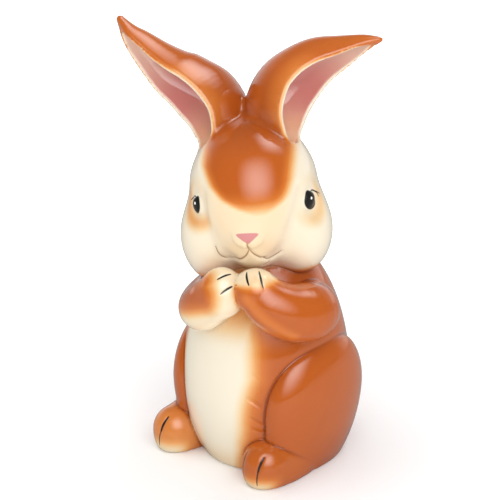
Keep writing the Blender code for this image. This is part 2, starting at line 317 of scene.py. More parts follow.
@dataclass
class Ear:
    """One scooped ear, in the head frame.

    Each row is across, back, up, half width of the opening, depth behind it, and the
    way the opening faces; the first row is the root.
    """

    rows: Sequence[Row]
    wall: float = 4.2
    wall_share: float = 0.34
    tip_solid: float = 0.80
    tip_fill: float = 6.0
    root_hollow_share: float = 0.12
    hollow_share: float = 0.60
    hollow_deepens: Row = (0.02, 0.30)
    least_hollow: float = 0.4
    rim_round: float = 2.4
    curve: Array = field(init=False)
    run: Array = field(init=False)

    def __post_init__(self) -> None:
        """Works out the middle line once."""
        self.curve, self.run = stations(self.rows, 32)

    def chart(self, head_points: Array) -> EarChart:
        """Charts points on the ear.

        Args:
            head_points: points in the head frame.

        Returns:
            The chart, which holds FAR as both distances well away from the ear.
        """
        near = near_curve(head_points, self.curve, self.curve[:, 4].max())
        count = len(head_points)
        values = (np.full(count, FAR), np.full(count, FAR), np.zeros(count))
        if near.any():
            for value, found in zip(values, self.chart_near(head_points[near])):
                value[near] = found
        return EarChart(*values)

    def chart_near(self, points: Array) -> tuple[Array, Array, Array]:
        """The chart's three values, worked out for every point given."""
        place = place_along(points, self.curve, self.run)
        row = between(self.curve, place)
        forward = unit(between(self.run, place))
        facing = row[:, 5:8] - (row[:, 5:8] * forward).sum(axis=1)[:, None] * forward
        facing = unit(facing)
        offset = points - row[:, :3]
        across = (offset * np.cross(forward, facing)).sum(axis=1)
        along = (offset * facing).sum(axis=1)
        past = (offset * forward).sum(axis=1)
        width = row[:, 3]
        depth = row[:, 4]
        outside = section(across, along, past, width, depth, np.minimum(width, depth))
        outside = cut(outside, along, self.rim_round)
        share = place / (len(self.curve) - 1)
        wall = np.minimum(self.wall, self.wall_share * width)
        inner_width = np.maximum(width - wall, self.least_hollow)
        deepening = self.hollow_share - self.root_hollow_share
        scoop = self.root_hollow_share + deepening * ramp(share, *self.hollow_deepens)
        inner_depth = np.maximum(depth * scoop, self.least_hollow)
        hollow = section(
            across, along, past, inner_width, inner_depth, np.minimum(inner_width, inner_depth)
        )
        hollow = hollow + self.tip_fill * ramp(share, self.tip_solid, 1.0)
        return outside, hollow, share


@dataclass(frozen=True)
class Eye:
    """One eye in the head frame, with the strength of the glow airbrushed round it."""

    side: Side
    middle: Row
    half_width: float
    half_height: float
    glow: float


@dataclass(frozen=True)
class Seam:
    """How one form meets the rest: the softness of the join, and the groove along it."""

    soft: float
    depth: float
    width: float


@dataclass
class Torso:
    """The upright egg of the body, the rump behind it and the scut."""

    belly: Oval = Oval((-0.5, 1.0, 48.0), (51.0, 51.5, 75.0), upper_height=92.0)
    rump: Oval = Oval((0.0, 12.0, 42.0), (43.0, 42.0, 44.0))
    rump_blend: float = 10.0
    scut: Oval = Oval((0.0, 50.0, 24.0), (11.0, 11.0, 12.0))
    patch_rows: Sequence[Row] = (
        (0.0, -22.0, 9.5),
        (17.0, -27.0, 17.0),
        (33.0, -32.0, 20.5),
        (50.0, -33.5, 22.5),
        (66.0, -33.5, 26.0),
        (87.0, -31.0, 23.5),
        (96.0, -28.0, 20.5),
        (112.0, -22.0, 16.0),
    )

    def distance(self, points: Array) -> Array:
        """Distance to the egg and the rump together."""
        return join(self.belly.distance(points), self.rump.distance(points), self.rump_blend)

    def brown(self, points: Array) -> Array:
        """Density of the airbrushed brown: none on the belly's cream patch."""
        x, y, z = points.T
        rows = np.array(self.patch_rows)
        left = x - np.interp(z, rows[:, 0], rows[:, 1])
        right = np.interp(z, rows[:, 0], rows[:, 2]) - x
        inside = np.minimum(ramp(left, -4.0, 4.0), ramp(right, -11.0, 8.0))
        density = 1.0 - inside * ramp(-y, 12.0, 26.0)
        under_arms = 0.45 * ramp(z, 82.0, 108.0)
        low_tint = 0.10 * hill(z - 4.0, 10.0)
        return np.maximum(density, np.maximum(under_arms, low_tint))


@dataclass
class Legs:
    """Haunches and feet, mirrored, with the feet a little to the hare's right."""

    haunch: Oval = Oval((35.7, 1.5, 43.0), (20.0, 41.5, 58.0), roll=4.0, upper_height=43.5)
    shift: float = -4.0
    foot: Limb = field(
        default_factory=lambda: Limb(
            (
                (36.4, -39.2, 12.6, 13.9),
                (36.6, -26.0, 13.0, 14.0),
                (37.0, -4.0, 12.5, 13.6),
                (36.5, 12.0, 12.0, 13.0),
            ),
            10,
        )
    )
    sole: Oval = Oval((36.0, -22.5, 5.0), (15.6, 29.5, 12.5))
    sole_blend: float = 6.0

    def haunch_distance(self, points: Array) -> Array:
        """Distance to the nearer haunch."""
        return self.haunch.distance(mirrored(points))

    def foot_distance(self, points: Array) -> Array:
        """Distance to the nearer foot."""
        side = mirrored(points - np.array((self.shift, 0.0, 0.0)))
        return join(self.foot.distance(side), self.sole.distance(side), self.sole_blend)

    def foot_brown(self, points: Array) -> Array:
        """Density of brown on a foot: it fades out low on the toes."""
        x, y, z = points.T
        toes = ramp(-y, 36.0, 50.0)
        whole = 0.62 + 0.33 * ramp(x, -10.0, 10.0)
        return whole * (1.0 - 0.85 * toes * (1.0 - ramp(z, 1.5, 13.0)))


@dataclass
class Head:
    """The head with its cheeks, nose, eyes and both ears."""

    middle: Row = (-2.2, -8.0, 166.0)
    yaw: float = 35.0
    roll: float = -5.0
    skull: Oval = Oval((0.0, 5.0, 0.0), (37.3, 38.0, 44.5))
    face: Oval = Oval((0.0, -12.0, -1.0), (27.0, 30.0, 37.0), pitch=-6.0)
    face_blend: Row = (8.0, 26.0)
    face_blend_heights: Row = (-24.0, 20.0)
    left_cheek: Oval = Oval((24.8, -2.0, -20.3), (20.0, 27.0, 27.0))
    right_cheek: Oval = Oval((-25.7, -2.0, -22.4), (20.0, 27.0, 28.0))
    cheek_blend: float = 8.0
    chin: Oval = Oval((0.0, -25.0, -28.0), (9.0, 8.0, 6.0))
    chin_blend: float = 6.0
    nose: Oval = Oval((-0.8, -40.0, -11.0), (6.6, 2.2, 4.4))
    nose_blend: float = 7.0
    eyes: Sequence[Eye] = (
        Eye(Side.LEFT, (34.3, -18.0, 2.1), half_width=5.9, half_height=6.1, glow=0.24),
        Eye(Side.RIGHT, (-30.9, -23.4, 4.6), half_width=4.4, half_height=5.6, glow=0.40),
    )
    eye_lean: float = 0.2
    eye_ball: float = 9.0
    eye_rise: float = 1.2
    eye_crease: float = 1.0
    socket_radius: float = 19.0
    socket_depth: float = 1.3
    socket_round: float = 3.0
    muzzle_depth: float = 1.3
    muzzle_width: float = 4.0
    left_muzzle: Limb = field(
        default_factory=lambda: Limb(
            (
                (29.8, -25.2, 11.0, 0.0),
                (25.4, -30.0, -3.5, 0.0),
                (20.5, -30.8, -17.5, 0.0),
                (11.6, -30.6, -27.6, 0.0),
            ),
            10,
        )
    )
    right_muzzle: Limb = field(
        default_factory=lambda: Limb(
            (
                (-26.0, -29.5, 12.4, 0.0),
                (-26.0, -29.4, -3.0, 0.0),
                (-22.6, -30.0, -17.6, 0.0),
                (-13.0, -30.2, -27.8, 0.0),
            ),
            10,
        )
    )
    forehead_rows: Sequence[Row] = (
        (0.0, 2.0, 12.0),
        (4.0, -1.0, 16.5),
        (6.5, -5.0, 19.5),
        (9.0, -9.5, 22.0),
        (12.2, -14.8, 23.5),
        (19.0, -20.8, 25.5),
        (27.5, -25.5, 26.8),
        (35.0, -25.2, 27.3),
    )
    ear_crease: float = 6.0
    root_blend: float = 4.5
    hollow_round: float = 2.0
    glow_radius: float = 11.5
    glow_width: float = 4.8
    left_ear: Ear = field(
        default_factory=lambda: Ear(
            (
                (25.2, -3.0, 32.1, 6.0, 15.0, 0.92, -0.38, -0.05),
                (26.5, -0.9, 39.8, 13.0, 29.0, 0.90, -0.43, -0.12),
                (28.0, 2.1, 49.7, 16.5, 33.0, 0.79, -0.55, -0.26),
                (31.6, 5.7, 57.4, 17.9, 32.5, 0.67, -0.63, -0.39),
                (37.2, 8.0, 63.9, 17.4, 28.5, 0.56, -0.67, -0.49),
                (45.7, 10.4, 70.1, 15.0, 23.5, 0.45, -0.68, -0.58),
                (57.9, 11.9, 75.7, 10.9, 17.0, 0.35, -0.67, -0.65),
                (70.6, 13.6, 81.5, 5.6, 9.5, 0.20, -0.67, -0.72),
                (79.0, 14.5, 84.3, 2.5, 3.8, 0.13, -0.65, -0.75),
            )
        )
    )
    right_ear: Ear = field(
        default_factory=lambda: Ear(
            (
                (-26.0, 0.3, 29.0, 6.0, 16.0, -0.81, -0.59, -0.03),
                (-26.6, 2.5, 37.5, 13.0, 31.0, -0.79, -0.61, -0.07),
                (-29.3, 6.3, 47.5, 16.5, 34.5, -0.71, -0.69, -0.16),
                (-35.5, 9.0, 56.2, 17.5, 34.2, -0.61, -0.74, -0.28),
                (-42.4, 12.0, 63.0, 17.0, 29.5, -0.53, -0.76, -0.38),
                (-50.3, 14.7, 69.4, 15.6, 25.4, -0.49, -0.75, -0.45),
                (-60.2, 18.4, 80.3, 11.6, 19.0, -0.49, -0.72, -0.50),
                (-69.8, 22.1, 93.2, 7.0, 12.6, -0.48, -0.68, -0.55),
                (-74.4, 27.0, 103.4, 3.0, 5.0, -0.47, -0.66, -0.59),
            )
        )
    )
    axes: Array = field(init=False)

    def __post_init__(self) -> None:
        """Works out the head's axes once."""
        self.axes = turned(yaw=self.yaw, roll=self.roll)

    def local(self, points: Array) -> Array:
        """Body points in the head frame."""
        return (points - np.array(self.middle)) @ self.axes

    def to_body(self, points: Array) -> Array:
        """Head points in the body frame."""
        return points @ self.axes.T + np.array(self.middle)

    def outward(self, eye: Eye) -> Array:
        """The way out of the skull at an eye."""
        way = np.array(eye.middle) / np.array(self.skull.radii) ** 2
        return way / np.linalg.norm(way)

    def eye_axes(self, eye: Eye) -> tuple[Array, Array]:
        """The ways to the back of the head and up, over the skin at an eye."""
        out = self.outward(eye)
        up = np.array((0.0, 0.0, 1.0)) - out * out[2]
        up /= np.linalg.norm(up)
        return np.cross(up, out) * eye.side.value, up

    def with_eye(self, q: Array, distance: Array, eye: Eye) -> Array:
        """The head with one socket pressed in and the eye raised in it."""
        middle = np.array(eye.middle)
        outward = self.outward(eye)
        presser = middle + outward * (self.socket_radius - self.socket_depth)
        socket = np.linalg.norm(q - presser, axis=1) - self.socket_radius
        distance = cut(distance, -socket, self.socket_round)
        ball_middle = middle - outward * (self.eye_ball - self.eye_rise)
        ball = np.linalg.norm(q - ball_middle, axis=1) - self.eye_ball
        return join(distance, ball, self.eye_crease)

    def skull_distance(self, q: Array) -> Array:
        """Distance to the head without its ears, for points in the head frame."""
        low, high = self.face_blend
        soft = low + (high - low) * ramp(q[:, 2], *self.face_blend_heights)
        d = join(self.skull.distance(q), self.face.distance(q), soft)
        cheeks = np.minimum(self.left_cheek.distance(q), self.right_cheek.distance(q))
        d = join(d, cheeks, self.cheek_blend)
        for path in (self.left_muzzle, self.right_muzzle):
            d = d + self.muzzle_depth * hill(path.distance(q), self.muzzle_width)
        d = join(d, self.chin.distance(q), self.chin_blend)
        d = join(d, self.nose.distance(q), self.nose_blend)
        for eye in self.eyes:
            d = self.with_eye(q, d, eye)
        return d

    def distance(self, points: Array) -> Array:
        """Distance from body points to the whole head."""
        q = self.local(points)
        left = self.left_ear.chart(q)
        right = self.right_ear.chart(q)
        ears = join(left.outside, right.outside, self.ear_crease)
        d = join(self.skull_distance(q), ears, self.root_blend)
        d = cut(d, -left.hollow, self.hollow_round)
        return cut(d, -right.hollow, self.hollow_round)

    def eye_edge(self, q: Array) -> Array:
        """Signed distance to the painted outline of the nearer eye, below 0 inside it.

        Args:
            q: points in the head frame.

        Returns:
            The distance across the skin, in millimetres.
        """
        found = np.full(len(q), FAR)
        for eye in self.eyes:
            across, up = self.eye_axes(eye)
            offset = q - np.array(eye.middle)
            u = offset @ across
            v = offset @ up + 0.1
            rise = np.clip(v / eye.half_height, -1.2, 1.2)
            # The outline narrows towards the top.
            width = eye.half_width * (1.05 - 0.22 * (rise + np.sqrt(rise**2 + 0.2)))
            size = np.hypot((u + self.eye_lean * v) / width, v / eye.half_height)
            edge = (size - 1) * 0.8 * width
            near = np.linalg.norm(offset, axis=1) < 15.0
            found = np.where(near, np.minimum(found, edge), found)
        return found

    def brown(self, q: Array) -> Array:
        """Density of brown on the skull, for points in the head frame."""
        x, y, z = q.T
        rows = np.array(self.forehead_rows)
        from_left = x - np.interp(z, rows[:, 0], rows[:, 1])
        from_right = np.interp(z, rows[:, 0], rows[:, 2]) - x
        patch = join(from_left, from_right, 8.0)
        forehead = ramp(patch, -4.5, 7.0) * ramp(z, -3.0, 19.0) * ramp(-y, -16.0, -6.0)
        crown = ramp(z, 38.0, 45.0) * ramp(24.0 - np.abs(x), -3, 5)
        back = ramp(y, 10.0, 27.0)
        neck = 0.9 * ramp(-z, 36.0, 47.0) * ramp(y, -30.0, -14.0)
        density = np.maximum(np.maximum(forehead, crown), np.maximum(back, neck))
        for eye in self.eyes:
            offset = q - np.array(eye.middle)
            r = np.linalg.norm(offset, axis=1)
            back_and_down = offset @ np.array((0.0, 0.72, -0.69)) / np.maximum(r, 1e-6)
            ring = hill(r - self.glow_radius, self.glow_width)
            glow = eye.glow * (0.25 + 0.75 * ramp(back_and_down, -0.6, 0.8)) * ring
            density = np.maximum(density, glow)
        muzzle = 0.02 + 0.10 * ramp(-y, 24.0, 40.0)
        return np.maximum(density, muzzle)


@dataclass
class Arm:
    """One arm, from the shoulder round the elbow to its mitten."""

    limb: Limb
    paw: Oval
    paw_blend: float = 8.0

    def distance(self, points: Array) -> Array:
        """Distance to the arm and its mitten."""
        return join(self.limb.distance(points), self.paw.distance(points), self.paw_blend)


def left_arm() -> Arm:
    """The arm that shows its elbow."""
    limb = Limb(
        (
            (26.0, 6.0, 103.0, 13.0),
            (38.0, -3.0, 104.5, 15.5),
            (44.0, -13.4, 106.0, 17.5),
            (39.7, -27.1, 109.5, 17.0),
            (33.2, -37.0, 116.4, 14.8),
            (27.6, -41.5, 122.8, 11.5),
        )
    )
    return Arm(limb, Oval((26.0, -41.1, 125.0), (11.8, 9.6, 10.4), yaw=40.0))


def right_arm() -> Arm:
    """The arm that lies across the chest."""
    limb = Limb(
        (
            (-27.0, -4.0, 105.5, 12.0),
            (-21.9, -27.0, 102.8, 13.2),
            (-15.2, -40.4, 103.2, 13.8),
            (-9.6, -46.2, 104.8, 14.2),
            (-0.6, -48.6, 112.4, 14.0),
            (8.2, -50.2, 118.6, 12.8),
        )
    )
    return Arm(limb, Oval((9.2, -49.7, 122.0), (11.0, 10.0, 13.2), yaw=40.0, roll=-8.0))


@dataclass
class Line:
    """A line drawn through three points of the skin: pressed in, painted, or both.

    Sizes are millimetres; taper is 0 for an even line and 1 for pointed ends.
    """

    name: str
    points: Sequence[Row]
    width: float
    depth: float
    paint: Paint
    axes: Axes = Axes.BODY
    taper: float = 0.7
    press_width: float = 1.0
    start: Array = field(init=False)
    run: Array = field(init=False)
    bend: Array = field(init=False)
    facing: Array = field(init=False)

    def lay(self, head: Head, skin: Distance) -> None:
        """Settles the three points on the skin.

        Args:
            head: turns points that are given in the head frame.
            skin: distance to the form that the line lies on.
        """
        points = np.array(self.points, float)
        if self.axes is Axes.HEAD:
            points = head.to_body(points)
        points = settled(skin, points, 6)
        self.start = points[0]
        self.run = points[2] - points[0]
        offset = points[1] - points[0]
        t = offset @ self.run / (self.run @ self.run)
        self.bend = (offset - t * self.run) / (4 * t * (1 - t))
        self.facing = unit(slopes(skin, points[1:2]))[0]

    def spread(self, points: Array) -> tuple[Array, Array]:
        """Each point's distance over the skin from the line, and the line's fullness there."""
        t = np.clip((points - self.start) @ self.run / (self.run @ self.run), 0, 1)
        bow = 4 * t * (1 - t)
        offset = points - self.start - t[:, None] * self.run - bow[:, None] * self.bend
        rise = offset @ self.facing
        flat = np.linalg.norm(offset - rise[:, None] * self.facing, axis=1)
        full = 1 - self.taper + self.taper * np.sqrt(bow)
        return flat + np.maximum(np.abs(rise) - LINE_REACH, 0), full

    def pressed(self, points: Array) -> Array:
        """How far the line is pressed in at each point."""
        away, full = self.spread(points)
        return self.depth * full * hill(away, self.press_width)


def face_lines() -> list[Line]:
    """The mouth, the philtrum, the lashes and the crease beside the chin."""
    mouth = (
        ("philtrum", (-1.6, -42.8, -14.0), (-1.5, -40.6, -16.6), (-1.4, -39.0, -18.8)),
        ("left lip", (-1.4, -39.0, -18.8), (-3.2, -37.0, -23.3), (-10.5, -30.0, -27.9)),
        ("left curl", (-10.5, -30.0, -27.9), (-17.4, -27.4, -27.8), (-21.8, -28.4, -20.6)),
        ("right lip", (-1.4, -39.0, -18.8), (0.8, -37.3, -22.9), (6.6, -33.6, -27.0)),
        ("right curl", (6.6, -33.6, -27.0), (11.4, -29.0, -28.3), (16.2, -28.3, -25.2)),
    )
    lips = [
        Line(name, (a, b, c), 0.95, 0.9, Paint.TAN, Axes.HEAD, taper=0.15, press_width=1.1)
        for name, a, b, c in mouth
    ]
    lids = (
        ("left lid", (34.9, -16.6, 6.6), (35.9, -13.2, 6.2), (37.3, -10.0, 3.6), 0.95),
        ("left lash", (36.4, -12.0, 5.4), (37.9, -9.4, 3.2), (38.6, -8.8, 0.2), 0.8),
        ("left upper lash", (36.8, -11.2, 5.0), (38.1, -8.6, 3.2), (39.2, -6.2, 1.2), 0.7),
        ("right lid", (-31.0, -22.8, 9.2), (-31.9, -20.6, 8.8), (-33.2, -18.2, 7.2), 0.85),
        ("right lash", (-32.2, -19.6, 8.4), (-33.8, -17.0, 6.6), (-35.4, -14.4, 4.2), 0.8),
    )
    lashes = [
        Line(name, (a, b, c), width, 0.0, Paint.BLACK, Axes.HEAD)
        for name, a, b, c, width in lids
    ]
    chin = Line(
        "chin nick",
        ((5.4, -31.2, -32.0), (7.6, -30.4, -31.4), (9.8, -29.8, -30.2)),
        0.7,
        0.4,
        Paint.TAN,
        Axes.HEAD,
        taper=0.8,
        press_width=0.8,
    )
    return [*lips, *lashes, chin]


def paw_lines() -> list[Line]:
    """Two strokes on each mitten."""
    rows = (
        ("right paw outer stroke", (11.8, -57.7, 131.9), (14.2, -53.6, 133.9), (16.2, -49.2, 134.6)),
        ("right paw inner stroke", (16.2, -59.9, 124.6), (18.9, -57.0, 127.5), (21.4, -53.2, 130.2)),
        ("left paw inner stroke", (23.7, -45.5, 135.9), (26.6, -49.0, 134.3), (30.2, -51.2, 131.0)),
        ("left paw outer stroke", (29.3, -41.1, 136.6), (33.6, -44.6, 134.2), (37.2, -46.5, 129.6)),
    )
    return [
        Line(name, (a, b, c), 1.35, 0.45, Paint.BLACK, taper=0.75, press_width=0.9)
        for name, a, b, c in rows
    ]


def toe_lines() -> list[Line]:
    """The lines that part the toes."""
    rows = (
        ("right foot middle toe", (-38.6, -47.6, 23.6), (-39.6, -51.0, 19.2), (-40.7, -52.8, 14.4), 1.6),
        ("right foot toe end", (-40.0, -52.0, 17.0), (-41.3, -53.6, 10.5), (-41.8, -53.1, 4.4), 0.85),
        ("right foot outer toe", (-48.6, -42.0, 20.4), (-50.8, -46.6, 13.0), (-51.6, -47.2, 5.0), 1.1),
        ("left foot inner toe", (26.6, -46.6, 20.4), (24.6, -50.4, 13.0), (24.4, -50.2, 4.6), 1.1),
        ("left foot middle toe", (38.4, -47.4, 21.8), (37.9, -50.8, 17.4), (37.3, -52.5, 12.6), 1.5),
        ("left foot toe end", (37.8, -51.0, 16.6), (37.2, -53.0, 9.8), (36.7, -52.2, 3.4), 0.85),
    )
    return [
        Line(name, (a, b, c), width, 0.55 * width, Paint.BLACK, taper=0.65, press_width=1.1)
        for name, a, b, c, width in rows
    ]


def flank_wrinkles() -> list[Line]:
    """Small folds where the near haunch meets the belly."""
    rows = (
        ("knee fold", (24.8, -42.6, 69.5), (28.4, -40.6, 65.0), (29.3, -40.4, 58.6), 0.7),
        ("upper fold", (22.4, -44.9, 54.5), (27.0, -42.3, 51.3), (31.1, -39.8, 47.7), 1.0),
        ("middle fold", (24.3, -43.8, 41.7), (28.2, -41.0, 37.9), (31.5, -39.4, 35.7), 0.9),
        ("lower fold", (24.4, -42.9, 34.2), (27.6, -40.6, 32.4), (31.0, -39.0, 31.4), 0.7),
    )
    return [
        Line(name, (a, b, c), 1.4, depth, Paint.BARE, taper=0.8, press_width=1.4)
        for name, a, b, c, depth in rows
    ]


def settled(distance: Distance, points: Array, rounds: int = 3) -> Array:
    """Moves each point onto the skin along the slope.

    Args:
        distance: distance to the form.
        points: points near its skin.
        rounds: how often each point is moved.

    Returns:
        The moved points.
    """
    slope = slopes(distance, points)
    length = np.maximum((slope**2).sum(axis=1), 0.05)
    for _ in range(rounds):
        move = slope * (in_batches(distance, points) / length)[:, None]
        points = points - np.clip(move, -0.8, 0.8)
    return points


def grid_values(distance: Distance, step: float) -> Array:
    """Values on the grid, worked out one by one only in the blocks near the skin.

    Args:
        distance: distance to the form.
        step: spacing of the grid.

    Returns:
        One value for each grid corner.
    """
    low = np.array(GRID_LOW)
    counts = [int(np.ceil((b - a) / step / BLOCK)) for a, b in zip(GRID_LOW, GRID_HIGH)]
    blocks = np.stack(np.meshgrid(*[np.arange(n) for n in counts], indexing="ij"), axis=-1)
    blocks = blocks.reshape(-1, 3)
    coarse = in_batches(distance, (blocks + 0.5) * BLOCK * step + low)
    values = np.empty([n * BLOCK for n in counts])
    view = values.reshape(counts[0], BLOCK, counts[1], BLOCK, counts[2], BLOCK)
    view[:] = coarse.reshape(counts)[:, None, :, None, :, None]
    near = blocks[np.abs(coarse) < BLOCK * step * BAND]
    inner = np.stack(np.meshgrid(*[np.arange(BLOCK)] * 3, indexing="ij"), axis=-1)
    cells = near[:, None, None, None, :] * BLOCK + inner
    found = in_batches(distance, cells.reshape(-1, 3) * step + low)
    values[cells[..., 0], cells[..., 1], cells[..., 2]] = found.reshape(cells.shape[:-1])
    return values


def without_pinches(values: Array) -> Array:
    """Fills the grid corners where the skin would touch itself along an edge."""
    for _ in range(12):
        found = 0
        for first, second in ((0, 1), (0, 2), (1, 2)):
            faces = []
            for u, v in ((0, 0), (1, 0), (1, 1), (0, 1)):
                part = [slice(0, n) for n in values.shape]
                part[first] = slice(u, values.shape[first] - 1 + u)
                part[second] = slice(v, values.shape[second] - 1 + v)
                faces.append(values[tuple(part)])
            signs = [face < 0 for face in faces]
            pinched = (signs[0] == signs[2]) & (signs[1] == signs[3]) & (signs[0] != signs[1])
            found += pinched.sum()
            for face in faces:
                face[pinched & (face >= 0)] = -PINCH_FILL
        if not found:
            break
    return values


def skin_points(values: Array, step: float) -> tuple[Array, Array]:
    """One point for each grid cell that the skin crosses.

    Args:
        values: distance at each grid corner.
        step: spacing of the grid.

    Returns:
        The points, and each cell's point number or -1.
    """
    cells = tuple(n - 1 for n in values.shape)
    total = np.zeros(cells + (3,))
    count = np.zeros(cells)
    starts = np.stack(np.meshgrid(*[np.arange(n) for n in cells], indexing="ij"), axis=-1)
    for axis in range(3):
        others = [k for k in range(3) if k != axis]
        for u, v in ((0, 0), (0, 1), (1, 0), (1, 1)):
            first = [slice(0, n) for n in cells]
            first[others[0]] = slice(u, cells[others[0]] + u)
            first[others[1]] = slice(v, cells[others[1]] + v)
            second = list(first)
            second[axis] = slice(1, cells[axis] + 1)
            a = values[tuple(first)]
            b = values[tuple(second)]
            crossed = (a < 0) != (b < 0)
            t = np.where(crossed, a / np.where(crossed, a - b, 1.0), 0.0)
            point = starts.astype(float)
            point[..., others[0]] += u
            point[..., others[1]] += v
            point[..., axis] += t
            total += np.where(crossed[..., None], point, 0.0)
            count += crossed
    used = count > 0
    index = np.full(cells, -1)
    index[used] = np.arange(used.sum())
    return total[used] / count[used][:, None] * step + np.array(GRID_LOW), index


def skin_quads(inside: Array, index: Array) -> Array:
    """One quad for each grid edge that the skin crosses, facing outwards."""
    cells = index.shape
    quads = []
    for axis in range(3):
        others = [k for k in range(3) if k != axis]
        inner = [slice(1, n) for n in cells]
        inner[axis] = slice(0, cells[axis])
        ahead = list(inner)
        ahead[axis] = slice(1, cells[axis] + 1)
        a = inside[tuple(inner)]
        b = inside[tuple(ahead)]
        place = np.argwhere(a != b)
        leaving = a[a != b]
        place[:, others[0]] += 1
        place[:, others[1]] += 1
        corners = []
        for u, v in ((1, 1), (0, 1), (0, 0), (1, 0)):
            cell = place.copy()
            cell[:, others[0]] -= u
            cell[:, others[1]] -= v
            corners.append(index[cell[:, 0], cell[:, 1], cell[:, 2]])
        corners = np.stack(corners, axis=1)
        flip = leaving if axis == 1 else ~leaving
        corners[flip] = corners[flip][:, ::-1]
        quads.append(corners)
    return np.concatenate(quads)


def relaxed(points: Array, quads: Array, share: float = 0.5) -> Array:
    """Moves each point this share of the way to the middle of its neighbours."""
    total = np.zeros(points.shape)
    count = np.zeros(len(points))
    for a, b in ((0, 1), (1, 2), (2, 3), (3, 0)):
        for one, other in ((quads[:, a], quads[:, b]), (quads[:, b], quads[:, a])):
            for k in range(3):
                total[:, k] += np.bincount(one, points[other, k], len(points))
            count += np.bincount(one, minlength=len(points))
    return points + share * (total / count[:, None] - points)


def split_long_edges(points: Array, faces: Array, longest: Distance) -> tuple[Array, Array]:
    """Splits the edges that are longer than is wanted where they are.

    Args:
        points: the mesh's points.
        faces: its triangles.
        longest: the longest edge wanted at each of the points given to it.

    Returns:
        The points with the new ones at the end, and the new triangles.
    """
    edges = np.sort(np.concatenate([faces[:, [0, 1]], faces[:, [1, 2]], faces[:, [2, 0]]]), axis=1)
    unique, index = np.unique(edges, axis=0, return_inverse=True)
    ends = points[unique]
    middles = ends.mean(axis=1)
    long = np.linalg.norm(ends[:, 1] - ends[:, 0], axis=1) > longest(middles)
    number = np.full(len(unique), -1)
    number[long] = len(points) + np.arange(long.sum())
    marks = number[index.reshape(3, -1)].T
    split = marks >= 0
    count = split.sum(axis=1)
    corners = []
    for lone in range(3):
        order = [lone, (lone + 1) % 3, (lone + 2) % 3]
        chosen = (count == 1) & split[:, lone]
        a, b, c = faces[chosen][:, order].T
        m = marks[chosen, lone]
        corners += [(a, m, c), (m, b, c)]
        chosen = (count == 2) & ~split[:, lone]
        a, b, c = faces[chosen][:, order].T
        m = marks[chosen][:, order[1]]
        n = marks[chosen][:, order[2]]
        corners += [(a, b, m), (a, m, n), (n, m, c)]
    whole = count == 3
    a, b, c = faces[whole].T
    l, m, n = marks[whole].T
    corners += [(a, l, n), (l, b, m), (n, m, c), (l, m, n)]
    made = [np.stack(corner, axis=1) for corner in corners]
    return np.concatenate([points, middles[long]]), np.concatenate([faces[count == 0], *made])


@dataclass
class Shading:
    """Values that the glaze reads at each point of the skin."""

    brown: Array
    # dark: painted shade in the creases, and darker round the ear roots and low on the back.
    dark: Array
    pink: Array
    rose: Array
    eye_edge: Array
    nose_edge: Array
    # crease: how deep in a crease each point lies; the glaze paints shade there on the cream parts.
    crease: Array

    def store(self, mesh: bpy.types.Mesh) -> None:
        """Keeps each value on the mesh as a point attribute of its own name."""
        for name, values in vars(self).items():
            attribute = mesh.attributes.new(name, "FLOAT", "POINT")
            attribute.data.foreach_set("value", values.astype(np.float32))


